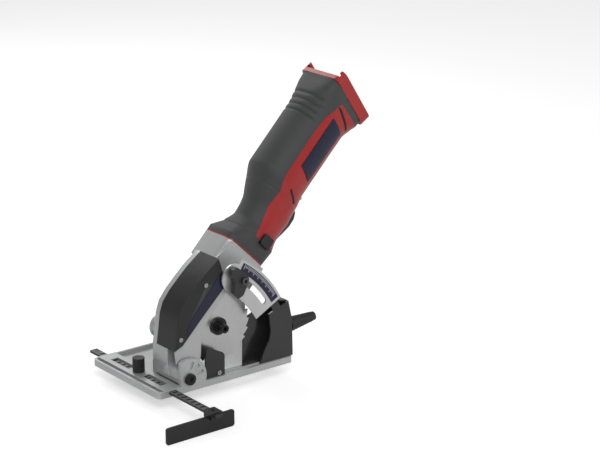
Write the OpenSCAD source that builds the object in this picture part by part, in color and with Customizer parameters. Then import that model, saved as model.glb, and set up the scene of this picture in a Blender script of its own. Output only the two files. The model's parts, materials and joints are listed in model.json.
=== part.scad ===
// Small cordless plunge-cut circular saw, shown without its battery.
// Origin: centre of the base plate's working face. +X rearward, +Y away from the blade side, +Z up.
// The head plunges about a cross bolt at the front of the base plate.

/* [Base plate] */
// Front end of the base plate, ahead of the origin
base_front = 100; // [96:1:120]
// Rear end of the base plate, behind the origin
base_rear = 93; // [90:1:115]
// Width of the base plate
base_w = 140; // [134:2:180]
// Thickness of the base plate's floor
plate_t = 3.2; // [2:0.2:3.2]
// Height of the rim around the base plate
rim_h = 8; // [6:0.5:9]
// Thickness of the rim
rim_t = 3; // [2:0.2:3.4]

/* [Plunge hinge] */
// Plunge bolt, distance ahead of the origin
pivot_ahead = 57.6; // [56:0.2:60]
// Plunge bolt, height above the working face
pivot_z = 15.4; // [15.4:0.2:20]
// Radius of the plunge bolt
pivot_r = 4; // [3:0.25:5]
// Radius of the hinge barrel on the head
barrel_r = 11.8; // [9:0.2:11.8]

/* [Blade] */
// Diameter of the saw blade
blade_d = 89; // [70:1:89]
// Thickness of the saw blade's body
blade_t = 1; // [0.6:0.1:1.6]
// Number of blade teeth
blade_teeth = 24; // [12:2:48]
// Distance from the plunge bolt to the spindle
spindle_reach = 70.8; // [70:0.2:72]
// Angle of the spindle above the working face, seen from the plunge bolt
spindle_rise = 44.3; // [44:0.1:48]
// Diameter of the clamping flanges
flange_d = 21; // [16:1:24]

/* [Gears] */
// Teeth on the bevel gear
gear_teeth = 30; // [27:3:33]
// Teeth on the motor pinion
pinion_teeth = 9; // [9:1:10]
// Mean radius at which the bevel pair meshes
mesh_r = 10.8; // [10.6:0.1:11]
// Outer radius of the gear case around the spindle
case_r = 16.4; // [16:0.1:16.4]

/* [Motor] */
// Angle of the motor shaft above the working face
motor_angle = 49; // [48:0.5:50]
// Diameter of the motor
motor_d = 36; // [30:1:40]
// Length of the motor
motor_len = 58; // [50:1:60]
// Diameter of the motor shaft
shaft_d = 6; // [5:0.5:6]

/* [Handle] */
// Angle of the handle above the working face
handle_angle = 46; // [45:0.5:47]
// Distance of the handle's middle plane from the centre line of the base plate
handle_offset = 20; // [18:0.5:20]
// Radius of the grip behind the waist
grip_r = 37.5; // [36:0.5:40]
// Radius of the waist
waist_r = 29.5; // [29:0.5:31]
// Wall of the grip's shells
shell_t = 3; // [2:0.25:4]
// Thickness of the soft cover over the grip
soft_t = 3; // [2:0.25:4]
// Length of the cast collar across the handle's middle plane
collar_w = 56; // [54:1:56]
// Height of the cast collar in the handle's middle plane
collar_h = 66; // [64:1:70]
// Width of the battery foot
foot_w = 70; // [66:1:76]
// Length of the battery foot's face
foot_h = 74; // [70:1:80]

/* [Depth stop] */
// Radius of the depth slot's centre line around the plunge bolt
slot_r = 128.5; // [126:0.5:130]
// Width of the depth slot
slot_w = 7; // [6.4:0.2:8]
// Thickness of the depth plate
arc_t = 2.2; // [1.6:0.1:2.4]
// Travel of the depth stop along its slot
slot_travel = 22; // [16:1:24]

/* [Parallel guide] */
// Width of the guide bar
bar_w = 9.8; // [8:0.2:10.4]
// Thickness of the guide bar
bar_t = 3; // [2:0.2:3]
// Length of the guide bar
bar_len = 258; // [220:1:280]
// Length of the fence
fence_len = 92; // [70:1:110]
// Height of the fence
fence_h = 20; // [16:1:22]

/* [Fits] */
// Radial clearance of a running fit
run_gap = 0.05; // [0.02:0.01:0.1]
// Clearance between moving faces
move_gap = 0.3; // [0.25:0.05:0.4]

/* [Hidden] */
$fn = 64;

// places of the main axes
pivot_x = -pivot_ahead;
function around_pivot(r, a) = [pivot_x + r * cos(a), pivot_z + r * sin(a)];
spindle_xz = around_pivot(spindle_reach, spindle_rise);
handle_y = -handle_offset;
collar_x = 44;
collar_z = 141;

// layers across the saw, from the blade side inwards
near_edge = -base_w / 2;
arc_y = -69.6;
guard_y = -67;
guard_wall = 2.6;
cover_y = -65.5;
near_wall_y = -63;
near_wall_t = 2.4;
blade_y = -56;
far_wall_y = -51;
far_wall_t = 1.8;
web_y = -48;
web_t = 4;
arm_y = -18;
ear_t = 5.2;

// blade clamp stack
flange_t = 3;
bolt_head_r = 5.2;
bolt_head_len = 7.5;
hub_r = 7;
hub_len = 4;
spindle_r = 5;
spindle_nose_r = 4;

// bevel pair: the crown teeth stand on the gear's face, the pinion runs across them
pinion_r = mesh_r * pinion_teeth / gear_teeth;
addendum = 0.65;
dedendum = 0.9;
gear_face_y = handle_y - pinion_r - dedendum;
gear_t = 5;
tooth_in_r = 8.7;
tooth_out_r = 12.6;
cavity_r = case_r - 2.2;

// bearings: bore, outer radius and width
small_bearing_r = 8.5;
near_bearing_r = 9.5;
far_bearing_r = 8;
bearing_w = 6;
far_bearing_w = 5;

// places along the motor shaft, from the spindle
front_bearing_t = 20;
rear_bearing_t = 50;
nose_end_t = 62;
nose_r = 14;
fan_t = 92;
fan_len = 9;
motor_t = 103;
can_r = motor_d / 2;
core_r = can_r - 5.5;
end_cap_len = 6;
rib_t = 4;
waist_cavity_r = 24;

// places along the handle, from the collar's face: height along the handle, offset to the underside, radius
collar_len = 21;
waist_a = [36, 9.5, waist_r];
waist_b = [56, 8.5, waist_r + 1.5];
neck = [80, 0, grip_r - 2.2];
grip_a = [98, -6, grip_r];
grip_b = [180, -6, grip_r];
foot_place = [229.5, -1.5];
foot_tilt = 13.3;
foot_t = 14;
trigger_hinge = [37.5, 36.5];
ring_t = 1.5;
socket_len = 32;
socket_wall = 3;

// outline of the front cover's ridge, from the top down to the hinge
ridge = [[-11, 150], [-31, 135], [-43, 124], [-55, 112.5], [-65, 100], [-69.5, 87], [-71.5, 71], [-74.5, 51]];
cover_t = [2.2, -1.6];
flange_line = concat([for (p = ridge) p + cover_t], [[-72.4, 32], [pivot_x - barrel_r - 1, pivot_z]]);

// ------------------------------------------------------------------ helpers

// a flat outline in X and Z, thick from y_a to y_b
module slab(y_a, y_b) {
    translate([0, y_b, 0]) rotate([90, 0, 0]) linear_extrude(y_b - y_a) children();
}

// a round bar along Y
module y_bar(x, z, r, y_a, y_b) {
    translate([x, y_b, z]) rotate([90, 0, 0]) cylinder(r = r, h = y_b - y_a);
}

module rounded_rect(a, b, r) {
    square([a - 2 * r, b], center = true);
    square([a, b - 2 * r], center = true);
    for (sx = [-1, 1], sy = [-1, 1]) translate([sx * (a / 2 - r), sy * (b / 2 - r)]) circle(r = r);
}

// a band of outline: the points, and the same points moved by a shift
function band(points, shift) = concat(points, [for (i = [len(points) - 1 : -1 : 0]) points[i] + shift]);

// part of a flat ring around the plunge bolt, in X and Z
function arc_points(r, a_from, a_to, steps = 16) =
    [for (i = [0 : steps]) around_pivot(r, a_from + (a_to - a_from) * i / steps)];
module arc_band(r_in, r_out, a_from, a_to) {
    polygon(concat(arc_points(r_in, a_from, a_to), arc_points(r_out, a_to, a_from)));
}

// motor frame: +Z along the shaft away from the spindle, +X towards the underside
module on_motor() {
    translate([spindle_xz[0], handle_y, spindle_xz[1]]) rotate([0, 90 - motor_angle, 0]) children();
}

// handle frame: +Z up the handle from the collar's face, +X towards the underside
module on_handle() {
    translate([collar_x, handle_y, collar_z]) rotate([0, 90 - handle_angle, 0]) children();
}

// foot frame: +Z out of the battery face, +X towards its lower edge
module on_foot() {
    on_handle() translate([foot_place[1], 0, foot_place[0]]) rotate([0, foot_tilt, 0]) children();
}

module ring(r_in, r_out, len) {
    difference() {
        cylinder(r = r_out, h = len);
        translate([0, 0, -1]) cylinder(r = r_in, h = len + 2);
    }
}

// a pan-head screw with a cross-slotted head; +Z out of the head
module screw(r, head_r, head_h, len) {
    difference() {
        union() {
            translate([0, 0, -len]) cylinder(r = r, h = len);
            cylinder(r = head_r, h = head_h);
        }
        for (a = [0, 90]) rotate([0, 0, a]) translate([-head_r * 0.7, -0.35, head_h * 0.45]) cube([head_r * 1.4, 0.7, head_h]);
    }
}

// a screw along Y whose head faces the blade side at y
module near_screw(x, z, y, r, head_r, head_h, len) {
    translate([x, y, z]) rotate([90, 0, 0]) screw(r, head_r, head_h, len);
}

// ------------------------------------------------------------------ base plate and hinge

bar_x = -81;
bar_z = plate_t + move_gap;
channel_w = bar_w + 0.4;
channel_h = bar_t + 0.6;
block_w = channel_w + 14;
block_top = bar_z + channel_h + 1.8;
window_len = 38;
window_in = 14;
near_ear_r = 24;
far_ear_r = 15;
near_ear_y = near_edge;
far_ear_y = arm_y + move_gap;
blade_slot = [-31, 57.5];
knob_z = block_top + 0.4;

// screws that hold the rear guard on its pads
guard_screw_x = [66, 85];
guard_screw_y = -61;
pad_r = 4;
screw_r = 1.5;

module hinge_ear(y_a, r) {
    slab(y_a, y_a + ear_t) {
        translate([pivot_x, pivot_z]) intersection() {
            circle(r = r);
            translate([-barrel_r, -pivot_z]) square([r + barrel_r, r + pivot_z]);
        }
        translate([pivot_x - barrel_r, 0]) square([r + barrel_r - 1, pivot_z]);
    }
}

module base_outline(inset) {
    translate([(base_rear - base_front) / 2, 0])
        rounded_rect(base_front + base_rear - 2 * inset, base_w - 2 * inset, 6 - inset);
}

module base_plate() {
    color("silver") difference() {
        union() {
            linear_extrude(plate_t) base_outline(0);
            linear_extrude(rim_h) difference() {
                base_outline(0);
                base_outline(rim_t);
            }
            translate([bar_x - block_w / 2, near_edge + 1, 1]) cube([block_w, base_w - 2, block_top - 1]);
            hinge_ear(near_ear_y, near_ear_r);
            hinge_ear(far_ear_y, far_ear_r);
            // screw pads for the two guards, and the inner rib beside the blade slot
            for (x = guard_screw_x) translate([x, guard_screw_y, 1]) cylinder(r = pad_r, h = plate_t);
            translate([blade_slot[0] - 4, far_wall_y + far_wall_t + 0.6, 1]) cube([base_rear - blade_slot[0], 2, plate_t - 0.2]);
        }
        // slot for the blade and the clamping flanges
        translate([blade_slot[0], near_wall_y + 0.5, -1]) cube([blade_slot[1] - blade_slot[0], 11.5, 10]);
        // channel for the guide bar, and the two windows over it
        translate([bar_x - channel_w / 2, near_edge - 1, bar_z - 0.3]) cube([channel_w, base_w + 2, channel_h + 0.3]);
        for (s = [-1, 1]) translate([bar_x - channel_w / 2, s * (window_in + window_len / 2) - window_len / 2, bar_z])
            cube([channel_w, window_len, 20]);
        // bore for the plunge bolt, and the ear's lightening pocket
        y_bar(pivot_x, pivot_z, pivot_r + run_gap, near_edge - 1, far_ear_y + ear_t + 1);
        slab(near_edge - 1, near_edge + 2) for (a = [8, 38, 68])
            translate([pivot_x, pivot_z]) rotate(a) translate([11, 0.8]) square([9, 4.2]);
        // thread for the guide knob, and holes for the guard screws
        translate([bar_x, 0, bar_z]) cylinder(r = 3, h = 20);
        for (x = guard_screw_x) translate([x, guard_screw_y, -1]) cylinder(r = screw_r, h = 12);
    }
}

module pivot_bolt() {
    color("dimgray") difference() {
        union() {
            y_bar(pivot_x, pivot_z, pivot_r, near_edge, far_ear_y + ear_t + 5);
            y_bar(pivot_x, pivot_z, 7, near_edge - 3.4, near_edge);
        }
        y_bar(pivot_x, pivot_z, 2.9, near_edge - 4, near_edge - 1.4);
    }
}

module pivot_nut() {
    color("dimgray") difference() {
        translate([pivot_x, far_ear_y + ear_t + 4.4, pivot_z]) rotate([90, 0, 0]) cylinder(r = 7.4, h = 4.4, $fn = 6);
        y_bar(pivot_x, pivot_z, pivot_r, far_ear_y + ear_t - 1, far_ear_y + ear_t + 6);
    }
}

spring_y = -52;
spring_turns = 9;
spring_wire = 1.8;
spring_r = 7.2;
spring_room_r = 9.2;

module return_spring() {
    color("gray") union() {
        for (i = [0 : spring_turns - 1]) translate([pivot_x, spring_y + 2 + i * (spring_wire + 0.2), pivot_z])
            rotate([90, 0, 0]) rotate_extrude() translate([spring_r, 0]) circle(r = spring_wire / 2);
    }
}

// ------------------------------------------------------------------ fixed guards and depth plate

guard_front = [[46.5, rim_h + 1], [53, 24], [60, 35], [62, 45], [59.5, 67]];
guard_rear = [[88, 78], [93.4, 54], [94.6, plate_t]];

module rear_guard() {
    color([0.16, 0.16, 0.17]) difference() {
        union() {
            // wall on the blade side, with the backing lugs behind the depth plate
            slab(guard_y, guard_y + guard_wall) {
                polygon(concat(guard_front, guard_rear, [[46.5, plate_t]]));
            }
            slab(guard_y, guard_y + lug_t) arc_band(slot_r + 6, slot_r + 17, 20, 44);
            // wall behind the blade
            slab(far_wall_y, far_wall_y + far_wall_t)
                polygon([[32, plate_t], [33, 40], [37, 56], [40, 65], [78, 80.5], [88, 78], [93.4, 54], [94.6, plate_t]]);
            // rear wall, top and floor strip between the two walls
            slab(guard_y + guard_wall, far_wall_y) polygon(band([[78, 80.5], [88, 78], [93.4, 54], [94.6, plate_t]], [-2.4, -1]));
            slab(guard_y + guard_wall, far_wall_y) translate([blade_slot[1] + 2, plate_t]) square([34, 2]);
        }
        // room for the base plate's rim and screw pads
        translate([0, 0, -1]) linear_extrude(rim_h + 1 + run_gap) difference() {
            base_outline(-3);
            base_outline(rim_t + run_gap);
        }
        for (x = guard_screw_x) translate([x, guard_screw_y, 0]) {
            cylinder(r = pad_r + run_gap, h = plate_t + 1 + run_gap);
            cylinder(r = screw_r, h = 12);
        }
        // outlet into the chute
        translate([80, chute_y, chute_z]) rotate([0, 90, 0]) cylinder(r = 6, h = 20);
        for (a = rivet_angles) arc_rivet(a, 1);
    }
}

module guard_screws() {
    color("dimgray") for (x = guard_screw_x) translate([x, guard_screw_y, plate_t + 2])
        screw(screw_r, 2.8, 1.8, plate_t + 1.6);
}

module front_guard() {
    color([0.2, 0.2, 0.21]) difference() {
        slab(guard_y, guard_y + 2.4)
            polygon([[-32.8, plate_t], [-32.8, 30], [-31, 44], [-27, 45.4], [-8, 35.5], [-5.5, 32], [-5.5, plate_t]]);
        y_bar(-14, 12, screw_r, guard_y - 1, guard_y + 4);
    }
}

module front_guard_screw() {
    color("dimgray") near_screw(-14, 12, guard_y, screw_r, 2.8, 1.4, 2.4);
}

slot_top = 55.5;
slot_bottom = slot_top - slot_travel;

module arc_plate() {
    color("gainsboro") difference() {
        union() {
            slab(arc_y, arc_y + arc_t) arc_band(slot_r - 19.5, slot_r + 21.5, slot_bottom - 5.5, slot_top + 4);
            slab(arc_y, arc_y + arc_t) translate(around_pivot(slot_r - 2, slot_top + 3.5)) circle(r = 17);
        }
        slab(arc_y - 1, arc_y + arc_t + 1) {
            arc_band(slot_r - slot_w / 2, slot_r + slot_w / 2, slot_bottom, slot_top);
            for (a = [slot_bottom, slot_top]) translate(around_pivot(slot_r, a)) circle(d = slot_w);
        }
        for (a = rivet_angles) arc_rivet(a, 1);
    }
}

module arc_scale() {
    color([0.1, 0.11, 0.25]) slab(arc_y - 0.3, arc_y) arc_band(slot_r + 7.5, slot_r + 18.5, slot_bottom - 4, slot_top + 2);
}

// a flush rivet that joins the depth plate to the guard's lug
rivet_angles = [31, 41];
lug_t = 1.2;
module arc_rivet(a, extra) {
    p = around_pivot(slot_r + 12, a);
    y_bar(p[0], p[1], 1.4, arc_y - extra, guard_y + lug_t + extra);
}

module arc_rivets() {
    color("dimgray") for (a = rivet_angles) arc_rivet(a, 0);
}

chute_y = -59;
chute_z = 44;
chute_len = 38;

module chip_chute() {
    color([0.12, 0.12, 0.13]) difference() {
        translate([94.4, chute_y, chute_z]) rotate([0, 90 - 4, 0]) union() {
            cylinder(r1 = 8.8, r2 = 5.4, h = chute_len);
            for (i = [0 : 6]) translate([0, 0, 3 + i * 4.6]) cylinder(r = 8.8 - i * 0.42, h = 1.8);
        }
        translate([90, chute_y, chute_z]) rotate([0, 90 - 4, 0]) cylinder(r = 4, h = chute_len + 20);
        translate([70, chute_y - 20, chute_z - 20]) cube([24.5, 40, 40]);
    }
}

// ------------------------------------------------------------------ head castings

web_outline = concat([[18, 160], [-2, 142]], flange_line,
    [[pivot_x, pivot_z - barrel_r], [pivot_x + 11, pivot_z - 3], [-43, 27], [-27, 53], [-10, 51],
     [8, 59], [21, 76], [45.5, 96], [65.5, 117]]);
dust_xz = [-45, 56];
dust_r = 13.5;
dust_bore_r = 11;

module socket_outline(inset) {
    rounded_rect(collar_h - 2 * inset, collar_w - 2 * inset, 12 - inset);
}

module gear_housing() {
    color([0.78, 0.78, 0.78]) difference() {
        union() {
            slab(web_y, web_y + web_t) polygon(web_outline);
            slab(web_y + web_t, arm_y) polygon(band(flange_line, [3, -2.2]));
            y_bar(pivot_x, pivot_z, barrel_r, near_ear_y + ear_t + move_gap, arm_y);
            y_bar(spindle_xz[0], spindle_xz[1], case_r, far_wall_y + 0.2, case_end_y);
            on_motor() translate([0, 0, 8]) cylinder(r = nose_r, h = nose_end_t - 8);
            on_handle() translate([0, 0, -ring_t - socket_len]) linear_extrude(socket_len) socket_outline(0);
        }
        on_handle() translate([0, 0, -ring_t - socket_len + socket_wall]) linear_extrude(socket_len) socket_outline(socket_wall);
        // shaft bore, gear cavity and bearing seats
        on_motor() translate([0, 0, 8]) cylinder(r = small_bearing_r, h = nose_end_t);
        y_bar(spindle_xz[0], spindle_xz[1], cavity_r, gear_face_y - gear_t - 4, case_end_y + 1);
        y_bar(spindle_xz[0], spindle_xz[1], near_bearing_r, near_bearing_y, near_bearing_y + 10);
        y_bar(spindle_xz[0], spindle_xz[1], spindle_r + 0.6, far_wall_y - 1, gear_face_y - gear_t - 3);
        y_bar(spindle_xz[0], spindle_xz[1], case_r + run_gap, case_end_y, 1);
        // hinge bore and the spring's room
        y_bar(pivot_x, pivot_z, pivot_r + run_gap, near_edge - 1, 0);
        y_bar(pivot_x, pivot_z, spring_room_r, spring_y, spring_y + 22);
        // dust passage
        y_bar(dust_xz[0], dust_xz[1], dust_bore_r, web_y - 1, web_y + web_t + 1);
    }
}
near_bearing_y = web_y - 2;
case_end_y = -9;

module upper_guard() {
    color([0.8, 0.8, 0.8]) union() {
        slab(near_wall_y, near_wall_y + near_wall_t) polygon(concat(
            [for (i = [0 : 7]) flange_line[i]],
            [[-70.5, 34], [-40, 30], [-36, 36], [-35.4, 50], [-35, 66], [-29, 73.5], [-20.5, 84], [2.4, 107.8], [-2.6, 121], [-7, 138]]));
        slab(near_wall_y + near_wall_t, web_y) polygon(band([for (i = [0 : 7]) flange_line[i]], [2.5, -1.9]));
    }
}

cover_screw_xz = [[-66, 64], [-30, 122]];
module cover_screw_holes() {
    for (p = cover_screw_xz) y_bar(p[0], p[1], screw_r, cover_y - 5, cover_y + 8);
}

module front_cover() {
    color([0.13, 0.13, 0.14]) difference() {
        union() {
            slab(cover_y, near_wall_y) polygon(concat(ridge, [[-63, 56], [-39, 80], [-3.3, 114.4], [-1.8, 121.3]]));
            slab(near_wall_y, -29) polygon(band(ridge, cover_t));
        }
        cover_screw_holes();
    }
}

module cover_panel() {
    color([0.08, 0.08, 0.2]) slab(cover_y - 0.4, cover_y) polygon([[-10, 131], [-5, 121], [-6, 115.5], [-40, 82.5], [-58, 65], [-53, 82]]);
}

module cover_screws() {
    color("dimgray") for (p = cover_screw_xz) near_screw(p[0], p[1], cover_y, screw_r, 2.6, 1.2, 2.4);
}

module gearbox_cover() {
    color([0.76, 0.76, 0.76]) difference() {
        union() {
            y_bar(spindle_xz[0], spindle_xz[1], case_r, case_end_y, case_end_y + 3);
            y_bar(spindle_xz[0], spindle_xz[1], cavity_r, case_end_y - 4, case_end_y);
        }
        y_bar(spindle_xz[0], spindle_xz[1], far_bearing_r, case_end_y - 5, case_end_y + 1);
        for (a = lid_angles) y_bar(spindle_xz[0] + 11.6 * cos(a), spindle_xz[1] + 11.6 * sin(a), 1.2, -20, 0);
        y_bar(lock_xz[0], lock_xz[1], lock_r + run_gap, -20, 0);
    }
}
lid_angles = [100, 190, 280, 10];
lock_xz = spindle_xz + 10.8 * [cos(motor_angle + 180), sin(motor_angle + 180)];
lock_r = 1.8;

module gearbox_screws() {
    color("dimgray") for (a = lid_angles) translate([spindle_xz[0] + 11.6 * cos(a), case_end_y + 3, spindle_xz[1] + 11.6 * sin(a)])
        rotate([-90, 0, 0]) screw(1.2, 2.2, 1.4, 7);
}

module bearing(r_in, r_out, w) {
    difference() {
        cylinder(r = r_out, h = w);
        translate([0, 0, -1]) cylinder(r = r_in, h = w + 2);
        translate([0, 0, -1]) ring(r_in + 1.5, r_out - 1.5, 1.4);
        translate([0, 0, w - 0.4]) ring(r_in + 1.5, r_out - 1.5, 1);
    }
}

module spindle_bearing_near() {
    color("lightgray") translate([spindle_xz[0], near_bearing_y + bearing_w, spindle_xz[1]]) rotate([90, 0, 0])
        bearing(spindle_r + run_gap, near_bearing_r, bearing_w);
}

module spindle_bearing_far() {
    color("lightgray") translate([spindle_xz[0], case_end_y + 1, spindle_xz[1]]) rotate([90, 0, 0])
        bearing(spindle_nose_r + run_gap, far_bearing_r, far_bearing_w);
}

module shaft_bearing_front() {
    color("lightgray") on_motor() translate([0, 0, front_bearing_t]) bearing(shaft_d / 2 + run_gap, small_bearing_r, bearing_w);
}

module shaft_bearing_rear() {
    color("lightgray") on_motor() translate([0, 0, rear_bearing_t]) bearing(shaft_d / 2 + run_gap, small_bearing_r, bearing_w);
}

module dust_port() {
    color([0.75, 0.75, 0.75]) difference() {
        union() {
            y_bar(dust_xz[0], dust_xz[1], dust_r, web_y + web_t, 8);
            y_bar(dust_xz[0], dust_xz[1], dust_r + 1.2, 4, 8);
        }
        y_bar(dust_xz[0], dust_xz[1], dust_bore_r, web_y, 9);
    }
}

// ------------------------------------------------------------------ handle

module collar_ring() {
    color("firebrick") on_handle() translate([0, 0, -ring_t]) linear_extrude(ring_t) difference() {
        socket_outline(0);
        socket_outline(socket_wall);
    }
}

module collar_end(z) {
    translate([8, 0, z]) linear_extrude(0.1) rounded_rect(collar_h - 3, collar_w, 20, $fn = 32);
}

module collar() {
    color([0.27, 0.27, 0.27]) difference() {
        on_handle() hull() {
            linear_extrude(7) rounded_rect(collar_h, collar_w, 12, $fn = 32);
            collar_end(collar_len - 0.1);
        }
        on_motor() cylinder(r = waist_cavity_r - 3, h = 130);
        button_pocket();
    }
}

button_z = [17, 31];
button_x = [4, 20];
module button_pocket() {
    on_handle() translate([button_x[0] - move_gap, -50, button_z[0] - move_gap])
        cube([button_x[1] - button_x[0] + 2 * move_gap, 50 - 24.5, button_z[1] - button_z[0] + 2 * move_gap]);
}

// one ring round the handle: place along it, centre, two half sizes, squareness and tilt
function circle_row(p) = [p[0], p[1], p[2], p[2], 2, 0];
foot_shift = foot_t + run_gap;
handle_rows = [
    [collar_len, 8, collar_h / 2 - 1.6, collar_w / 2 - 0.2, 3.2, 0],
    circle_row(waist_a), circle_row(waist_b), circle_row(neck), circle_row(grip_a), circle_row(grip_b),
    [foot_place[0] - 31.5, foot_place[1] - 3.9, foot_h / 2 + 0.3, foot_w / 2 + 1.3, 3, foot_tilt / 2],
    [foot_place[0] - foot_shift * cos(foot_tilt), foot_place[1] - foot_shift * sin(foot_tilt),
        foot_h / 2 - 0.5, foot_w / 2 - 0.5, 6, foot_tilt]
];
ring_steps = 32;
function ring_point(row, a) =
    let (k = pow(pow(abs(cos(a)), row[4]) + pow(abs(sin(a)), row[4]), -1 / row[4]), x = row[2] * k * cos(a))
    [row[1] + x * cos(row[5]), row[3] * k * sin(a), row[0] - x * sin(row[5])];
handle_points = [for (row = handle_rows, i = [0 : ring_steps - 1]) ring_point(row, 360 * i / ring_steps)];
function wrap(k, i) = k * ring_steps + i % ring_steps;
handle_faces = concat(
    [[for (i = [0 : ring_steps - 1]) i]],
    [for (k = [0 : len(handle_rows) - 2], i = [0 : ring_steps - 1]) [wrap(k, i), wrap(k + 1, i), wrap(k + 1, i + 1)]],
    [for (k = [0 : len(handle_rows) - 2], i = [0 : ring_steps - 1]) [wrap(k, i), wrap(k + 1, i + 1), wrap(k, i + 1)]],
    [[for (i = [ring_steps - 1 : -1 : 0]) wrap(len(handle_rows) - 1, i)]]);

// outside of the handle, from the collar to the battery foot
module handle_solid() {
    on_handle() polyhedron(handle_points, handle_faces);
}

// room inside the handle
module handle_room() {
    on_motor() translate([0, 0, 96]) difference() {
        cylinder(r = waist_cavity_r, h = 94);
        for (t = [12, 52]) translate([0, 0, t]) ring(can_r, waist_cavity_r + 1, rib_t);
    }
    on_handle() translate([grip_b[1], 0, grip_a[0] - 1]) cylinder(r = grip_r - soft_t - shell_t, h = 107);
    on_foot() translate([0, 0, -34]) linear_extrude(30) rounded_rect(foot_h - 16, foot_w - 16, 6);
}

// side view of the soft cover, along the handle and towards the underside
cover_edge = [[20, -60], [20, -5], [33, -6], [49, -9], [61, -12.5], [80, -16], [97, -23], [178, -23], [206, -16],
              [196, 48], [250, 48], [250, -60]];
module soft_zone() {
    on_handle() rotate([90, 0, 0]) translate([0, 0, -60]) linear_extrude(120) polygon([for (p = cover_edge) [p[1], p[0]]]);
}

module side_cuts() {
    on_handle() for (s = [-1, 1]) {
        translate([0, s * 40, 195]) rotate([0, -22, 0]) cube([34, 24, 3.4], center = true);
        translate([2, s * 40, 84]) rotate([0, -22, 0]) cube([20, 24, 2.6], center = true);
    }
    // slot for the trigger
    on_handle() translate([30, -trigger_w / 2 - move_gap, 32.5]) cube([20, trigger_w + 2 * move_gap, 49.5]);
    on_handle() for (p = housing_screw_at) translate([p[1], 0, p[0]]) rotate([90, 0, 0])
        cylinder(r = 1.6, h = 100, center = true);
    on_handle() translate([trigger_hinge[1], 0, trigger_hinge[0]]) rotate([90, 0, 0])
        cylinder(r = pin_r, h = trigger_w + 4, center = true);
}
trigger_w = 18;
pin_r = 1.5;
housing_screw_at = [[94, 29], [112, 16], [176, 16]];

module housing_half(s) {
    difference() {
        handle_solid();
        handle_room();
        soft_zone();
        side_cuts();
        button_pocket();
        on_handle() translate([-100, s > 0 ? -200 : 0, -100]) cube([200, 200, 500]);
    }
}

module housing_left() {
    color([0.75, 0.13, 0.12]) housing_half(1);
}

module housing_right() {
    color([0.75, 0.13, 0.12]) housing_half(-1);
}

module grip_cover() {
    color([0.25, 0.25, 0.25]) difference() {
        intersection() {
            handle_solid();
            soft_zone();
        }
        handle_room();
    }
}

badge_outline = [[110, 9], [118, -14], [187, -14], [180, 10]];
module badge(s) {
    intersection() {
        on_handle() translate([grip_b[1], 0, 100]) ring(grip_r + 0.02, grip_r + 0.7, 90);
        on_handle() rotate([90, 0, 0]) translate([0, 0, s > 0 ? -60 : 10]) linear_extrude(50)
            polygon([for (p = badge_outline) [p[1], p[0]]]);
    }
}

module badge_left() {
    color([0.08, 0.09, 0.2]) badge(1);
}

module badge_right() {
    color([0.08, 0.09, 0.2]) badge(-1);
}

module housing_screws() {
    color("dimgray") on_handle() for (p = housing_screw_at) translate([p[1], -17, p[0]]) rotate([90, 0, 0])
        screw(1.6, 1.6, 0.1, 34);
}

module collar_screws() {
    color("dimgray") on_handle() for (sx = [-1, 1], sy = [-1, 1])
        translate([sx * (collar_h / 2 - 7), sy * (collar_w / 2 - 7), -8]) screw(1.6, 1.85, 2, 6);
}

module motor_can() {
    color("lightgray") on_motor() translate([0, 0, motor_t]) difference() {
        cylinder(r = can_r, h = motor_len);
        translate([0, 0, 1.5]) cylinder(r = can_r - 1.5, h = motor_len);
        translate([0, 0, -1]) cylinder(r = shaft_d / 2 + run_gap, h = 4);
    }
}

module motor_magnets() {
    color("dimgray") on_motor() translate([0, 0, motor_t + 6]) difference() {
        ring(core_r + 0.6, can_r - 1.5 - run_gap, 40);
        for (a = [0, 90]) rotate([0, 0, a]) translate([-30, -4, -1]) cube([60, 8, 50]);
    }
}

module motor_end_cap() {
    color([0.15, 0.15, 0.15]) on_motor() translate([0, 0, motor_t + motor_len]) difference() {
        union() {
            cylinder(r = can_r, h = end_cap_len);
            translate([0, 0, -6]) ring(can_r - 3, can_r - 1.5, 6);
        }
        translate([0, 0, -1]) cylinder(r = shaft_d / 2 + run_gap, h = end_cap_len + 2);
    }
}

module motor_brushes() {
    color("black") on_motor() for (s = [-1, 1]) translate([0, s * 10.4, motor_t + motor_len - 4.5]) cube([5, 8.6, 6], center = true);
}

module switch_body() {
    color([0.12, 0.12, 0.12]) on_handle() {
        translate([12, -7, 83]) cube([14, 14, 14.5]);
        translate([26, -3, 85]) cube([3, 6, 6]);
    }
}

module control_board() {
    color("darkgreen") on_handle() {
        translate([-16, -20, 122]) cube([1.6, 40, 60]);
        for (i = [0 : 3]) translate([-14.4, -14 + i * 8, 132]) cube([5, 5, 9]);
        translate([-14.4, -14, 152]) cube([9, 28, 18]);
    }
}

rail_w = 58;
rail_len = 60;
module battery_foot() {
    color([0.78, 0.14, 0.12]) on_foot() difference() {
        translate([0, 0, -foot_t]) linear_extrude(foot_t) rounded_rect(foot_h, foot_w, 7);
        translate([-foot_h, -rail_w / 2, -8]) cube([foot_h + rail_len / 2, rail_w, 9]);
        translate([-foot_h, -rail_w / 2 - 3, -8]) cube([foot_h + rail_len / 2, rail_w + 6, 4]);
        translate([-6, 0, -foot_t - 1]) linear_extrude(foot_t) rounded_rect(34, 30, 3);
    }
}

module battery_terminals() {
    color([0.1, 0.1, 0.1]) on_foot() translate([-6, 0, -foot_t - 4]) union() {
        linear_extrude(foot_t - 4) rounded_rect(33.4, 29.4, 3);
        for (y = [-10, -3.5, 3.5, 10]) translate([-10, y - 0.5, foot_t - 4]) cube([18, 1, 6]);
    }
}

module trigger_pin() {
    color("gray") on_handle() translate([trigger_hinge[1], 0, trigger_hinge[0]]) rotate([90, 0, 0])
        cylinder(r = pin_r, h = trigger_w + 4, center = true);
}

// ------------------------------------------------------------------ spindle, blade and motor shaft

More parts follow.
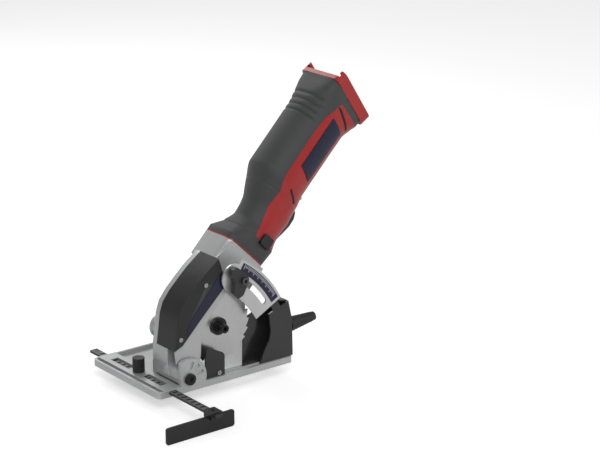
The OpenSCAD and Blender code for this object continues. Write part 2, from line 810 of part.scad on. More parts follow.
module spindle() {
    color("gray") difference() {
        union() {
            y_bar(spindle_xz[0], spindle_xz[1], spindle_r, blade_y - 1.2, -16);
            y_bar(spindle_xz[0], spindle_xz[1], spindle_nose_r, -16, case_end_y + 0.6);
        }
        y_bar(spindle_xz[0], spindle_xz[1], 2.5, blade_y - 3, near_bearing_y + 6);
    }
}

// the crown teeth are wedges whose middle lines run through the spindle
module bevel_gear() {
    half_in = 0.32 * tooth_in_r / mesh_r;
    half_out = 0.32 * tooth_out_r / mesh_r;
    color("dimgray") difference() {
        union() {
            y_bar(spindle_xz[0], spindle_xz[1], 13, gear_face_y - gear_t, gear_face_y);
            for (i = [0 : gear_teeth - 1]) translate([spindle_xz[0], 0, spindle_xz[1]])
                rotate([0, -motor_angle - i * 360 / gear_teeth, 0]) translate([0, gear_face_y + addendum + dedendum, 0])
                    rotate([90, 0, 0]) linear_extrude(addendum + dedendum + 0.2)
                        polygon([[tooth_in_r, -half_in], [tooth_out_r, -half_out], [tooth_out_r, half_out], [tooth_in_r, half_in]]);
        }
        y_bar(spindle_xz[0], spindle_xz[1], spindle_r, -40, 0);
    }
}

module flange(y_a, hub) {
    difference() {
        union() {
            y_bar(spindle_xz[0], spindle_xz[1], flange_d / 2, y_a, y_a + flange_t);
            if (hub) y_bar(spindle_xz[0], spindle_xz[1], hub_r, y_a - hub_len, y_a);
        }
        if (!hub) y_bar(spindle_xz[0], spindle_xz[1], spindle_r, y_a - 1, y_a + flange_t + 1);
        if (hub) y_bar(spindle_xz[0], spindle_xz[1], spindle_r, y_a + flange_t - 0.8, y_a + flange_t + 1);
        if (hub) y_bar(spindle_xz[0], spindle_xz[1], 2.5, y_a - hub_len - 1, y_a + flange_t + 1);
    }
}

module inner_flange() {
    color([0.1, 0.1, 0.1]) flange(blade_y + blade_t / 2, false);
}

module outer_flange() {
    color([0.1, 0.1, 0.1]) flange(blade_y - blade_t / 2 - flange_t, true);
}

gullet = 3.4;
function blade_outline() = [for (i = [0 : blade_teeth - 1], k = [0 : 2])
    let (a = 360 / blade_teeth * (i + [0, 0.12, 0.62][k]), r = blade_d / 2 - [0, gullet, 1.4][k]) [r * cos(a), r * sin(a)]];

module blade() {
    color("lightgray") translate([spindle_xz[0], blade_y + blade_t / 2, spindle_xz[1]]) rotate([90, 0, 0]) difference() {
        linear_extrude(blade_t) polygon(blade_outline());
        translate([0, 0, -1]) cylinder(r = spindle_r, h = blade_t + 2);
    }
}

module blade_bolt() {
    head_y = blade_y - blade_t / 2 - flange_t - hub_len;
    color([0.12, 0.12, 0.12]) difference() {
        union() {
            y_bar(spindle_xz[0], spindle_xz[1], bolt_head_r, head_y - bolt_head_len, head_y);
            y_bar(spindle_xz[0], spindle_xz[1], 2.5, head_y, near_bearing_y + 5);
        }
        translate([spindle_xz[0], head_y - bolt_head_len + 4, spindle_xz[1]]) rotate([90, 0, 0]) cylinder(r = 2.9, h = 6, $fn = 6);
    }
}

module drive_shaft() {
    color("gray") on_motor() union() {
        translate([0, 0, 14]) cylinder(r = shaft_d / 2, h = motor_t + motor_len + end_cap_len - 12);
        translate([0, 0, tooth_in_r]) cylinder(r = 1.3, h = 6);
    }
}

pinion_root = pinion_r - 0.75;
pinion_tip = pinion_r + 0.7;
module bevel_pinion() {
    color("dimgray") on_motor() translate([0, 0, tooth_in_r]) difference() {
        linear_extrude(14 - tooth_in_r) union() {
            circle(r = pinion_root);
            // a gap between two teeth faces the crown teeth
            for (i = [0 : pinion_teeth - 1]) rotate(-90 + (i + 0.5) * 360 / pinion_teeth)
                polygon([[pinion_root - 0.4, -0.42], [pinion_tip, -0.2], [pinion_tip, 0.2], [pinion_root - 0.4, 0.42]]);
        }
        translate([0, 0, -1]) cylinder(r = 1.3, h = 20);
    }
}

module rotor_core() {
    color("sienna") on_motor() translate([0, 0, motor_t + 8]) difference() {
        union() {
            cylinder(r = core_r, h = 34);
            translate([0, 0, 34]) cylinder(r = 6, h = 14);
        }
        translate([0, 0, -1]) cylinder(r = shaft_d / 2, h = 60);
        for (a = [0 : 60 : 300]) rotate([0, 0, a]) translate([core_r - 5, -1, -1]) cube([6, 2, 36]);
    }
}

module fan() {
    color([0.15, 0.15, 0.15]) on_motor() translate([0, 0, fan_t]) difference() {
        union() {
            cylinder(r = can_r - 1.4, h = 1.6);
            cylinder(r = 6, h = fan_len);
            for (a = [0 : 45 : 315]) rotate([0, 0, a]) translate([4, -0.7, 0]) cube([can_r - 6, 1.4, fan_len - 1]);
        }
        translate([0, 0, -1]) cylinder(r = shaft_d / 2, h = 20);
    }
}

// ------------------------------------------------------------------ depth clamp

clamp_xz = around_pivot(slot_r, slot_top);
module clamp_bolt() {
    color("dimgray") difference() {
        union() {
            y_bar(clamp_xz[0], clamp_xz[1], slot_w / 2 - move_gap, arc_y - 0.2, arc_y + arc_t);
            y_bar(clamp_xz[0], clamp_xz[1], slot_w / 2 + 1.6, arc_y - 1.6, arc_y - move_gap);
            y_bar(clamp_xz[0], clamp_xz[1], 2.4, arc_y - 9, arc_y);
            y_bar(clamp_xz[0], clamp_xz[1], 4.2, arc_y - 12, arc_y - 9);
            y_bar(clamp_xz[0], clamp_xz[1], slot_w / 2 + 1, arc_y + arc_t + move_gap, arc_y + arc_t + 1.2);
            y_bar(clamp_xz[0], clamp_xz[1], 2.4, arc_y, arc_y + arc_t + 1.2);
        }
        translate([clamp_xz[0], arc_y - 10.4, clamp_xz[1]]) rotate([90, 0, 0]) cylinder(r = 2.2, h = 6, $fn = 6);
    }
}

lever_h = 6.4;
module clamp_lever() {
    y_a = arc_y - 8.6;
    color([0.22, 0.22, 0.23]) difference() {
        union() {
            slab(y_a, y_a + lever_h) translate(clamp_xz) circle(r = 7.2);
            slab(y_a, y_a + lever_h) translate(clamp_xz)
                polygon([[-6, -5.4], [4.6, -7.4], [-1, -17.5], [-8, -20.5], [-14.5, -13], [-12.5, 1],
                         [-17.5, 10.5], [-8, 17], [5, 5]]);
            slab(y_a, y_a + lever_h) translate(clamp_xz + [-11, 10.5]) circle(r = 6.6);
        }
        y_bar(clamp_xz[0], clamp_xz[1], 2.4 + run_gap, arc_y - 20, 0);
    }
}

// ------------------------------------------------------------------ parallel guide

bar_far = 98;
bar_near = bar_far - bar_len;
fence_y = -148;
fence_t = 3;
fence_x = [-144.5, -144.5 + fence_len];
clip_len = 16;

module guide_bar() {
    color([0.14, 0.14, 0.15]) difference() {
        translate([bar_x - bar_w / 2, bar_near, bar_z]) cube([bar_w, bar_len, bar_t]);
        for (i = [0 : 23]) translate([bar_x - bar_w / 2 + 1.6, bar_near + 30 + i * 9, bar_z + bar_t - 0.6]) cube([bar_w - 3.2, 3.4, 2]);
    }
}

module fence() {
    top = bar_z - 0;
    color([0.16, 0.16, 0.17]) difference() {
        union() {
            slab(fence_y - fence_t / 2, fence_y + fence_t / 2)
                translate([(fence_x[0] + fence_x[1]) / 2, top - fence_h / 2]) rounded_rect(fence_len, fence_h, 3);
            // saddle over the bar
            translate([bar_x - bar_w / 2 - 2.4, fence_y - clip_len / 2, top - 3]) cube([bar_w + 4.8, clip_len, bar_t + 5.6]);
        }
        translate([bar_x - bar_w / 2, fence_y - clip_len, bar_z]) cube([bar_w, 2 * clip_len, bar_t]);
        translate([bar_x, fence_y, bar_z]) cylinder(r = 1.6, h = 20);
    }
}

module guide_knob() {
    color([0.13, 0.13, 0.14]) translate([bar_x, 0, 0]) union() {
        difference() {
            translate([0, 0, knob_z]) cylinder(r = 7.2, h = 17);
            for (a = [0 : 18 : 342]) rotate([0, 0, a]) translate([7.4, 0, knob_z + 1.5]) cylinder(r = 0.6, h = 17, $fn = 16);
        }
        translate([0, 0, bar_z + bar_t + 0.1]) cylinder(r = 3 - run_gap, h = knob_z - bar_z - bar_t + 1);
    }
}

// ------------------------------------------------------------------ controls

module trigger() {
    color([0.14, 0.14, 0.14]) difference() {
        on_handle() rotate([90, 0, 0]) translate([0, 0, -trigger_w / 2]) linear_extrude(trigger_w)
            polygon([[33.4, 34.5], [33.4, 79.5], [40.5, 79.5], [44.5, 72], [45, 62], [42.5, 50], [40, 40], [40, 34.5]]);
        on_handle() translate([trigger_hinge[1], 0, trigger_hinge[0]]) rotate([90, 0, 0])
            cylinder(r = 1.5 + run_gap, h = 60, center = true);
    }
}

module lock_off_button() {
    color([0.1, 0.1, 0.1]) on_handle() translate([(button_x[0] + button_x[1]) / 2, -32, (button_z[0] + button_z[1]) / 2])
        rotate([-90, 0, 0]) linear_extrude(5.6) rounded_rect(button_x[1] - button_x[0], button_z[1] - button_z[0], 2.5);
}

module spindle_lock() {
    color([0.1, 0.1, 0.1]) union() {
        y_bar(lock_xz[0], lock_xz[1], lock_r, gear_face_y + 6.4, -1);
        y_bar(lock_xz[0], lock_xz[1], 3.4, -1, 2.5);
    }
}

// ------------------------------------------------------------------ one line per node

base_plate();
pivot_bolt();
pivot_nut();
return_spring();
rear_guard();
guard_screws();
front_guard();
front_guard_screw();
arc_plate();
arc_scale();
arc_rivets();
chip_chute();
gear_housing();
upper_guard();
front_cover();
cover_panel();
cover_screws();
gearbox_cover();
gearbox_screws();
spindle_bearing_near();
spindle_bearing_far();
shaft_bearing_front();
shaft_bearing_rear();
dust_port();
collar_ring();
collar();
collar_screws();
housing_left();
housing_right();
grip_cover();
badge_left();
badge_right();
housing_screws();
motor_can();
motor_magnets();
motor_end_cap();
motor_brushes();
switch_body();
control_board();
battery_foot();
battery_terminals();
trigger_pin();
spindle();
bevel_gear();
inner_flange();
blade();
outer_flange();
blade_bolt();
drive_shaft();
bevel_pinion();
rotor_core();
fan();
clamp_bolt();
clamp_lever();
guide_bar();
fence();
guide_knob();
trigger();
lock_off_button();
spindle_lock();
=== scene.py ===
import json
import math

import bmesh
import bpy
from mathutils import Matrix, Vector


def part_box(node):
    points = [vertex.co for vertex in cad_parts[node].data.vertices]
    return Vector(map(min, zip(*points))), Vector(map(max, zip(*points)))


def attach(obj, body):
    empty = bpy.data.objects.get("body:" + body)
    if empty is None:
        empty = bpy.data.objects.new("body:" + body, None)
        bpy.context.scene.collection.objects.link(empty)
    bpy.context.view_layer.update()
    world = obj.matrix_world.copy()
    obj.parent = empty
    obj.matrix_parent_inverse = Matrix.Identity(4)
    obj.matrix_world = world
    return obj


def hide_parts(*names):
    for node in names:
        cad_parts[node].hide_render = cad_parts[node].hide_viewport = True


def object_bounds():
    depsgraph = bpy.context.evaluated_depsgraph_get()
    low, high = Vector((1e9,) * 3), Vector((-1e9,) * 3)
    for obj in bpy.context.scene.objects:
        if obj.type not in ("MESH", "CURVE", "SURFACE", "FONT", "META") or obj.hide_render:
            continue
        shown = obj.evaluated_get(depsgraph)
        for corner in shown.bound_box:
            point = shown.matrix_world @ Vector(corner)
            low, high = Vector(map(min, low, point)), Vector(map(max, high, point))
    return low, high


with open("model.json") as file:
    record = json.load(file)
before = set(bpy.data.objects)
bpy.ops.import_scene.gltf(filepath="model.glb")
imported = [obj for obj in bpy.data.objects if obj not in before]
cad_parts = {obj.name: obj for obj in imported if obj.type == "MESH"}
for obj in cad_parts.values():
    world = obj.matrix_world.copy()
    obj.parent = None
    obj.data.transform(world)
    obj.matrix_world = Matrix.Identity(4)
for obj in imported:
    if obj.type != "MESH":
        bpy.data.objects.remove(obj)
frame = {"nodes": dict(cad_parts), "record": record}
cad_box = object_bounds()
nodes = frame["nodes"]
record = frame["record"]
body_of_node = {n: b for b, ns in record["behaviour"]["bodies"].items() for n in ns}
slot_of_node = {s["node"]: s["material_slot"] for s in record["subparts"]}
MM = 0.001


# ---------------------------------------------------------------- materials
def material(name, color, rough, metal=0.0, grain=900.0, bump=0.15, vary=0.12, coat=0.0, sheen=0.0,
             stretch=(1, 1, 1), smudge=25.0, rough_vary=0.12, wear=0.0, wear_color=(0.5, 0.5, 0.5)):
    m = bpy.data.materials.new(name)
    m.use_nodes = True
    t = m.node_tree
    out = t.nodes["Principled BSDF"]
    link = t.links.new

    def new(kind, **values):
        n = t.nodes.new(kind)
        for k, v in values.items():
            setattr(n, k, v)
        return n

    coords = new("ShaderNodeTexCoord")
    mapping = new("ShaderNodeMapping")
    mapping.inputs["Scale"].default_value = stretch
    link(coords.outputs["Object"], mapping.inputs["Vector"])
    fine = new("ShaderNodeTexNoise")
    fine.inputs["Scale"].default_value = grain
    fine.inputs["Detail"].default_value = 4
    link(mapping.outputs[0], fine.inputs["Vector"])
    broad = new("ShaderNodeTexNoise")
    broad.inputs["Scale"].default_value = smudge
    broad.inputs["Detail"].default_value = 5
    link(coords.outputs["Object"], broad.inputs["Vector"])
    ramp = new("ShaderNodeValToRGB")
    ramp.color_ramp.elements[0].position = 0.3
    ramp.color_ramp.elements[1].position = 0.7
    ramp.color_ramp.elements[0].color = [c * (1 - vary) for c in color] + [1]
    ramp.color_ramp.elements[1].color = [min(1, c * (1 + vary)) for c in color] + [1]
    link(broad.outputs["Fac"], ramp.inputs["Fac"])
    colour = ramp.outputs["Color"]
    if wear:
        geo = new("ShaderNodeNewGeometry")
        edge = new("ShaderNodeMapRange")
        edge.inputs["From Min"].default_value = 0.56
        edge.inputs["From Max"].default_value = 0.72
        edge.inputs["To Max"].default_value = wear
        link(geo.outputs["Pointiness"], edge.inputs["Value"])
        mix = new("ShaderNodeMix", data_type="RGBA")
        mix.inputs[7].default_value = (*wear_color, 1)
        link(edge.outputs["Result"], mix.inputs[0])
        link(colour, mix.inputs[6])
        colour = mix.outputs[2]
    link(colour, out.inputs["Base Color"])
    r = new("ShaderNodeMapRange")
    r.inputs["To Min"].default_value = max(0.03, rough - rough_vary)
    r.inputs["To Max"].default_value = min(1, rough + rough_vary)
    link(broad.outputs["Fac"], r.inputs["Value"])
    link(r.outputs["Result"], out.inputs["Roughness"])
    b = new("ShaderNodeBump")
    b.inputs["Strength"].default_value = bump
    b.inputs["Distance"].default_value = 0.0003
    link(fine.outputs["Fac"], b.inputs["Height"])
    link(b.outputs["Normal"], out.inputs["Normal"])
    out.inputs["Metallic"].default_value = metal
    out.inputs["Coat Weight"].default_value = coat
    out.inputs["Sheen Weight"].default_value = sheen
    return m


M = {
    "cast_silver": material("cast_silver", (0.56, 0.565, 0.57), 0.42, 0.6, 1400, 0.22, 0.05),
    "depth_plate": material("depth_plate", (0.66, 0.66, 0.66), 0.33, 0.75, 1200, 0.08, 0.04,
                            stretch=(1, 1, 12)),
    "black_plastic": material("black_plastic", (0.014, 0.014, 0.015), 0.36, 0, 2200, 0.3, 0.15, wear=0.12),
    "guide_steel": material("guide_steel", (0.03, 0.03, 0.032), 0.38, 0.4, 1500, 0.15, 0.2, wear=0.4),
    "navy_print": material("navy_print", (0.008, 0.009, 0.04), 0.3, 0, 1200, 0.05, 0.08),
    "soft_grip": material("soft_grip", (0.05, 0.051, 0.053), 0.62, 0, 1700, 0.45, 0.1, sheen=0.15),
    "chute_rubber": material("chute_rubber", (0.02, 0.02, 0.022), 0.5, 0, 1500, 0.3, 0.15),
    "red_plastic": material("red_plastic", (0.40, 0.018, 0.018), 0.38, 0, 1500, 0.15, 0.06, coat=0.15),
    "blade_steel": material("blade_steel", (0.62, 0.62, 0.62), 0.27, 1.0, 500, 0.06, 0.05,
                            stretch=(1, 1, 14)),
    "black_steel": material("black_steel", (0.02, 0.02, 0.021), 0.33, 0.5, 1500, 0.12, 0.2, wear=0.5),
    "bearing_steel": material("bearing_steel", (0.5, 0.5, 0.5), 0.3, 1.0, 900, 0.06, 0.05),
    "motor_steel": material("motor_steel", (0.45, 0.45, 0.45), 0.35, 1.0, 900, 0.08, 0.06),
    "copper_core": material("copper_core", (0.5, 0.2, 0.08), 0.35, 0.9, 300, 0.5, 0.15, stretch=(1, 8, 1)),
    "carbon": material("carbon", (0.03, 0.03, 0.03), 0.6, 0, 900, 0.3, 0.2),
    "board_green": material("board_green", (0.01, 0.13, 0.04), 0.35, 0, 300, 0.2, 0.25),
}
tick_white = material("tick_white", (0.85, 0.85, 0.85), 0.5, 0, 900, 0.05, 0.03)
smoke_black = material("smoke_black", (0.022, 0.022, 0.023), 0.2, 0, 1200, 0.12, 0.1, coat=0.3)
dark_grey = material("dark_grey", (0.028, 0.028, 0.03), 0.4, 0, 1800, 0.25, 0.1, wear=0.15)
# painted shade: near-black colour for the vent slots, standing for the shade inside the openings, which
# are not cut
vent_painted_shade = material("vent_painted_shade", (0.006, 0.006, 0.006), 0.7, 0, 900, 0.2, 0.2)

# nodes whose finish differs a little from their slot's
special = {"rear_guard": smoke_black, "front_guard": dark_grey, "clamp_lever": dark_grey}


def finish_of(node):
    return special.get(node, M[slot_of_node[node]])


def paint(obj, mat):
    obj.data.materials.clear()
    obj.data.materials.append(mat)


for name, obj in nodes.items():
    if obj.type == "MESH":
        paint(obj, finish_of(name))


# ---------------------------------------------------------------- pieces
def shaded(mesh, angle=30):
    mesh.shade_smooth()
    mesh.set_sharp_from_angle(angle=math.radians(angle))


def piece(name, mesh, body, mat, stands_for=()):
    obj = bpy.data.objects.new(name, mesh)
    bpy.context.collection.objects.link(obj)
    if mat is not None:
        paint(obj, mat)
    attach(obj, body)
    if stands_for:
        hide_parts(*stands_for)
    return obj


def refined(node, width, segments=2, angle=35):
    """The CAD node's own form with its edges rounded, as the moulding or casting has them."""
    src = nodes[node]
    mesh = src.data.copy()
    mesh.transform(src.matrix_world)
    bm = bmesh.new()
    bm.from_mesh(mesh)
    bmesh.ops.remove_doubles(bm, verts=bm.verts, dist=2e-6)
    bmesh.ops.dissolve_limit(bm, angle_limit=math.radians(1.0), verts=bm.verts, edges=bm.edges)
    bm.to_mesh(mesh)
    bm.free()
    obj = piece("fine_" + node, mesh, body_of_node[node], finish_of(node), [node])
    shaded(mesh, angle)
    bev = obj.modifiers.new("edges", "BEVEL")
    bev.width = width * MM
    bev.segments = segments
    bev.limit_method = "ANGLE"
    bev.angle_limit = math.radians(angle)
    bev.harden_normals = True
    return obj


for node, width in {
    "base_plate": 0.7, "gear_housing": 1.2, "front_cover": 1.6, "upper_guard": 0.7, "rear_guard": 0.7,
    "front_guard": 0.6, "arc_plate": 0.4, "clamp_lever": 1.2, "collar": 1.4, "battery_foot": 1.2,
    "outer_flange": 0.4, "fence": 0.6, "guide_bar": 0.4, "guide_knob": 0.4, "chip_chute": 0.5,
    "dust_port": 0.6, "trigger": 1.4, "lock_off_button": 0.8, "gearbox_cover": 0.6, "pivot_bolt": 0.5,
    "blade_bolt": 0.4,
}.items():
    refined(node, width, 3 if width > 1 else 2)


# handle frame: u along the handle, x towards the underside, y across
ANGLE = math.radians(46)
ALONG = Vector((math.cos(ANGLE), 0, math.sin(ANGLE)))
UNDER = Vector((math.sin(ANGLE), 0, -math.cos(ANGLE)))
START = Vector((44, -20, 141))


def on_handle(u, x, y):
    return (START + ALONG * u + UNDER * x + Vector((0, y, 0))) * MM


# sections: u, centre x, half size in x, half size across, squareness, tilt
SECTIONS = [
    (20.5, 8, 31.4, 27.8, 3.2, 0), (28, 8.8, 30.4, 28.2, 2.5, 0), (36, 9.5, 29.6, 29.5, 2, 0),
    (47, 9.1, 30.0, 30.0, 2, 0), (56, 8.5, 31.1, 31.1, 2, 0),
    (68, 4.4, 33.2, 33.2, 2, 0), (80, 0, 35.4, 35.4, 2, 0),
    (98, -6, 37.6, 37.6, 2, 0), (140, -6, 37.6, 37.6, 2, 0), (180, -6, 37.6, 37.6, 2.05, 0),
    (198, -5.4, 37.4, 36.4, 3, 6.6), (215.8, -4.7, 36.6, 34.6, 6, 13.3),
]
# where the soft cover ends on the sides: u, and how far above the handle's line
EDGE = [(20, 5), (33, 6), (49, 9), (61, 12.5), (80, 16), (90, 21), (98, 23.5), (157, 24), (178, 23),
        (206, 15), (230, 10)]


def smooth_at(table, u, k):
    rows = [(r[0], r[k]) for r in table]
    if u <= rows[0][0]:
        return rows[0][1]
    for i in range(len(rows) - 1):
        (a, p), (b, q) = rows[i], rows[i + 1]
        if u <= b:
            def slope(j):
                if j <= 0 or j >= len(rows) - 1:
                    return 0.0
                l = (rows[j][1] - rows[j - 1][1]) / (rows[j][0] - rows[j - 1][0])
                r = (rows[j + 1][1] - rows[j][1]) / (rows[j + 1][0] - rows[j][0])
                return 0.0 if l * r <= 0 else 2 * l * r / (l + r)
            h = b - a
            t = (u - a) / h
            return (p * (2 * t**3 - 3 * t**2 + 1) + q * (3 * t**2 - 2 * t**3)
                    + h * slope(i) * (t**3 - 2 * t**2 + t) + h * slope(i + 1) * (t**3 - t**2))
    return rows[-1][1]


def skin(u, a, push=0.0):
    """A point of the handle's surface: a is 0 on the underside and pi on the top."""
    cx, hx, hy, n, tilt = (smooth_at(SECTIONS, u, k) for k in range(1, 6))
    c, s = math.cos(a), math.sin(a)
    k = (abs(c) ** n + abs(s) ** n) ** (-1 / n)
    x = (hx + push) * k * c
    y = (hy + push) * k * s
    t = math.radians(tilt)
    return on_handle(u - x * math.sin(t), cx + x * math.cos(t), y)


def edge_angle(u):
    cx, hx, n = smooth_at(SECTIONS, u, 1), smooth_at(SECTIONS, u, 2), smooth_at(SECTIONS, u, 4)
    want = -smooth_at(EDGE, u, 1)
    lo, hi = 0.0, math.pi
    for _ in range(30):
        mid = (lo + hi) / 2
        c, s = math.cos(mid), math.sin(mid)
        x = cx + hx * (abs(c) ** n + abs(s) ** n) ** (-1 / n) * c
        lo, hi = (mid, hi) if x > want else (lo, mid)
    return lo


RIBS = (172, 180, 187, 194)
RIB_WIDTH, RIB_DEPTH = 1.3, 1.5
SEAM_AT = 78.5
GRIP_PROUD = 0.35
PANEL_SUNK = -0.45
PANEL_END = 205
STEPS_ALONG = 195
FINE = 40  # steps across each of the two zones


def groove(distance, width):
    return math.exp(-(distance / width) ** 2)


def handle_shell():
    bm = bmesh.new()
    first, last = SECTIONS[0][0], SECTIONS[-1][0]
    rings, us = [], [first + i * (last - first) / STEPS_ALONG for i in range(STEPS_ALONG + 1)]
    for u in us:
        e = edge_angle(u)
        ring = []
        for i in range(FINE + 1):
            a = e + (2 * math.pi - 2 * e) * i / FINE
            top = max(0.0, 1 - abs(a - math.pi) / 1.05)
            dip = sum(groove(u - r, RIB_WIDTH) for r in RIBS) * min(1, 3 * top)
            seam = groove(u - SEAM_AT, 0.7) * 0.7
            ring.append(bm.verts.new(skin(u, a, GRIP_PROUD - RIB_DEPTH * dip - seam)))
        for i in range(FINE + 1):
            a = -e + 2 * e * i / FINE
            seam = groove(u - SEAM_AT, 0.6) * 0.5
            mid = groove(a, 0.02) * 0.4
            ring.append(bm.verts.new(skin(u, a, PANEL_SUNK - seam - mid)))
        rings.append(ring)
    n = len(rings[0])
    for k in range(len(rings) - 1):
        for i in range(n):
            j = (i + 1) % n
            f = bm.faces.new((rings[k][i], rings[k][j], rings[k + 1][j], rings[k + 1][i]))
            red = i > FINE and i < n - 1 and us[k] < PANEL_END
            f.material_index = 1 if red else 0
    bm.faces.new(rings[0][::-1])
    bm.faces.new(rings[-1])
    bmesh.ops.recalc_face_normals(bm, faces=bm.faces)
    mesh = bpy.data.meshes.new("handle_shell")
    bm.to_mesh(mesh)
    bm.free()
    piece("handle_shell", mesh, "head", None,
          ["housing_left", "housing_right", "grip_cover"])
    mesh.materials.append(M["soft_grip"])
    mesh.materials.append(M["red_plastic"])
    shaded(mesh, 40)


handle_shell()


def bar_on_skin(name, u0, x0, u1, x1, width, side, mat, depth=0.8, proud=0.12):
    """A long rounded patch that follows the handle's side from (u0, x0) to (u1, x1)."""
    bm = bmesh.new()
    steps, rows = 18, []
    du, dx = u1 - u0, x1 - x0
    length = math.hypot(du, dx)
    nu, nx = -dx / length, du / length
    for i in range(steps + 1):
        t = i / steps
        end = min(t, 1 - t) * length / (width / 2)
        w = width / 2 * (math.sqrt(max(0, 1 - (1 - min(1, end)) ** 2)) if end < 1 else 1)
        row = []
        for level in (proud, -depth):
            for s in (-1, 1):
                u = u0 + du * t + nu * w * s
                x = x0 + dx * t + nx * w * s
                cx, hx, hy = (smooth_at(SECTIONS, u, k) for k in (1, 2, 3))
                n = smooth_at(SECTIONS, u, 4)
                q = min(0.99, abs((x - cx) / hx))
                y = (hy + PANEL_SUNK + level) * (1 - q**n) ** (1 / n)
                row.append(bm.verts.new(on_handle(u, x, side * y)))
        rows.append(row)
    for a, b in zip(rows, rows[1:]):
        for i, j in ((0, 1), (1, 3), (3, 2), (2, 0)):
            bm.faces.new((a[i], a[j], b[j], b[i]))
    bm.faces.new((rows[0][0], rows[0][2], rows[0][3], rows[0][1]))
    bm.faces.new((rows[-1][0], rows[-1][1], rows[-1][3], rows[-1][2]))
    bmesh.ops.remove_doubles(bm, verts=bm.verts, dist=1e-6)
    bmesh.ops.recalc_face_normals(bm, faces=bm.faces)
    mesh = bpy.data.meshes.new(name)
    bm.to_mesh(mesh)
    bm.free()
    shaded(mesh)
    piece(name, mesh, "head", mat)


# vent slots are dark patches laid just proud of the skin, not cut through; their near-black colour is
# painted shade for the openings' interior
for side, tag in ((-1, "near"), (1, "far")):
    bar_on_skin("vent_upper_" + tag, 203, -16, 188, 16, 3.2, side, vent_painted_shade)
    bar_on_skin("vent_lower_" + tag, 89, -8, 79, 12, 2.6, side, vent_painted_shade)
    bar_on_skin("line_a_" + tag, 23, -14, 56, -15, 1.2, side, M["red_plastic"], 0.6, 1.0)


# marks: thin printed bars on a flat face, all in one mesh
def marks(name, bars, body, mat):
    bm = bmesh.new()
    for centre, size, turn in bars:
        m = Matrix.Translation(Vector(centre) * MM) @ turn @ Matrix.Diagonal((*[s * MM for s in size], 1))
        bmesh.ops.create_cube(bm, size=1, matrix=m)
    mesh = bpy.data.meshes.new(name)
    bm.to_mesh(mesh)
    bm.free()
    piece(name, mesh, body, mat)


PIVOT = Vector((-57.6, 0, 15.4))
SCALE_RIM = 146.2  # where the scale's ticks start, from the plunge bolt
SCALE_FACE = -69.95
bars = []
for i in range(29):
    a = math.radians(32 + i * 0.86)
    long = 6 if i % 4 == 0 else 3.6
    r = SCALE_RIM - long / 2
    bars.append(((PIVOT.x + r * math.cos(a), SCALE_FACE, PIVOT.z + r * math.sin(a)), (long, 0.12, 0.5),
                 Matrix.Rotation(-a, 4, "Y")))
marks("scale_ticks", bars, "base", tick_white)

# one tooth of the blade: share of the tooth pitch, and how far inside the tips
TEETH = 24
TOOTH = ((0, 0), (0.04, 1.6), (0.13, 3.4), (0.22, 3.5), (0.34, 2.6), (0.62, 1.5), (0.82, 1.0), (0.97, 0.1))
BORE_R = 5


def blade():
    lo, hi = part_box("blade")
    c = Vector(((lo[0] + hi[0]) / 2, 0, (lo[2] + hi[2]) / 2))
    y0, y1 = lo[1], hi[1]
    outer = (hi[0] - lo[0]) / 2
    bm = bmesh.new()
    outline = []
    for i in range(TEETH):
        for f, r in TOOTH:
            a = 2 * math.pi / TEETH * (i + f)
            outline.append((a, outer - 0.00005 - r * MM))
    radii = [BORE_R * MM, 0.0105, 0.0225, 0.0365, 0.0385]

    def corner(r, a, y):
        return bm.verts.new((c.x + r * math.cos(a), y, c.z + r * math.sin(a)))

    sides = []
    for y in (y0, y1):
        rings = [[corner(r, a, y) for a, _ in outline] for r in radii]
        rings.append([corner(r, a, y) for a, r in outline])
        for p, q in zip(rings, rings[1:]):
            for i in range(len(p)):
                j = (i + 1) % len(p)
                bm.faces.new((p[i], p[j], q[j], q[i]))
        sides.append(rings)
    for k in (0, -1):
        p, q = sides[0][k], sides[1][k]
        for i in range(len(p)):
            j = (i + 1) % len(p)
            bm.faces.new((p[i], p[j], q[j], q[i]))
    bmesh.ops.recalc_face_normals(bm, faces=bm.faces)
    mesh = bpy.data.meshes.new("saw_blade")
    bm.to_mesh(mesh)
    bm.free()
    shaded(mesh)
    piece("saw_blade", mesh, "spindle", M["blade_steel"], ["blade"])


blade()

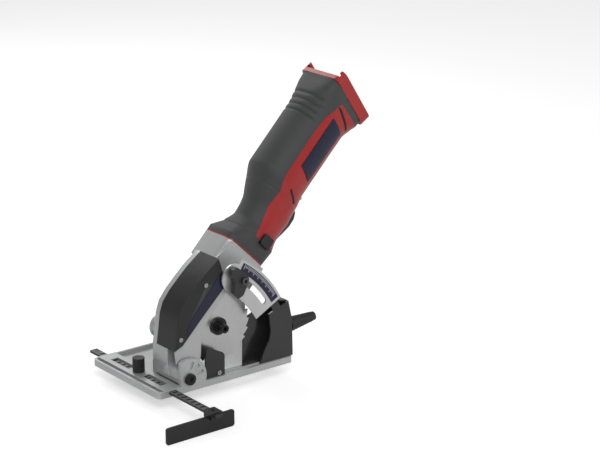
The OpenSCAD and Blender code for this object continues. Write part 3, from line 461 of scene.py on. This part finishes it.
# ---------------------------------------------------------------- stage, light, camera
low = cad_box[0][2]
bpy.ops.mesh.primitive_plane_add(size=12, location=(0, 0, low - 0.0003))
floor = bpy.context.object
floor.name = "floor"
fm = bpy.data.materials.new("floor")
fm.use_nodes = True
fb = fm.node_tree.nodes["Principled BSDF"]
fb.inputs["Base Color"].default_value = (0.86, 0.86, 0.86, 1)
fb.inputs["Roughness"].default_value = 0.9
fb.inputs["Emission Color"].default_value = (1, 1, 1, 1)
eye_ray = fm.node_tree.nodes.new("ShaderNodeLightPath")
glow = fm.node_tree.nodes.new("ShaderNodeMath")
glow.operation = "MULTIPLY"
glow.inputs[1].default_value = 0.5
fm.node_tree.links.new(eye_ray.outputs["Is Camera Ray"], glow.inputs[0])
fm.node_tree.links.new(glow.outputs[0], fb.inputs["Emission Strength"])
paint(floor, fm)

world = bpy.data.worlds.new("room")
bpy.context.scene.world = world
world.use_nodes = True
wt = world.node_tree
back = wt.nodes["Background"]
back.inputs["Color"].default_value = (1, 1, 1, 1)
white = wt.nodes.new("ShaderNodeBackground")
white.inputs["Color"].default_value = (1, 1, 1, 1)
white.inputs["Strength"].default_value = 1.0
seen = wt.nodes.new("ShaderNodeLightPath")
pick = wt.nodes.new("ShaderNodeMixShader")
wt.links.new(seen.outputs["Is Camera Ray"], pick.inputs[0])
wt.links.new(back.outputs[0], pick.inputs[1])
wt.links.new(white.outputs[0], pick.inputs[2])
wt.links.new(pick.outputs[0], wt.nodes["World Output"].inputs["Surface"])
world.node_tree.nodes["Background"].inputs["Strength"].default_value = 0.34


def lamp(name, place, size, power):
    data = bpy.data.lights.new(name, "AREA")
    data.size = size
    data.energy = power
    obj = bpy.data.objects.new(name, data)
    bpy.context.collection.objects.link(obj)
    obj.location = place
    obj.rotation_euler = (Vector((0.05, 0, 0.12)) - Vector(place)).to_track_quat("-Z", "Y").to_euler()


lamp("key", (-0.9, -1.3, 1.5), 1.0, 15)
lamp("fill", (1.2, -1.3, 0.8), 1.2, 4.5)
lamp("rim", (0.3, 1.4, 1.3), 1.0, 9)

cam = bpy.data.cameras.new("camera")
cam.lens = 120
cam.sensor_width = 36
eye = bpy.data.objects.new("camera", cam)
bpy.context.collection.objects.link(eye)
eye.location = (-1.27437, -1.82352, 0.87759)
eye.rotation_euler = (Vector((0.1581, 0, 0.1409)) - eye.location).to_track_quat("-Z", "Y").to_euler()
bpy.context.scene.camera = eye
bpy.context.scene.view_settings.view_transform = "Standard"
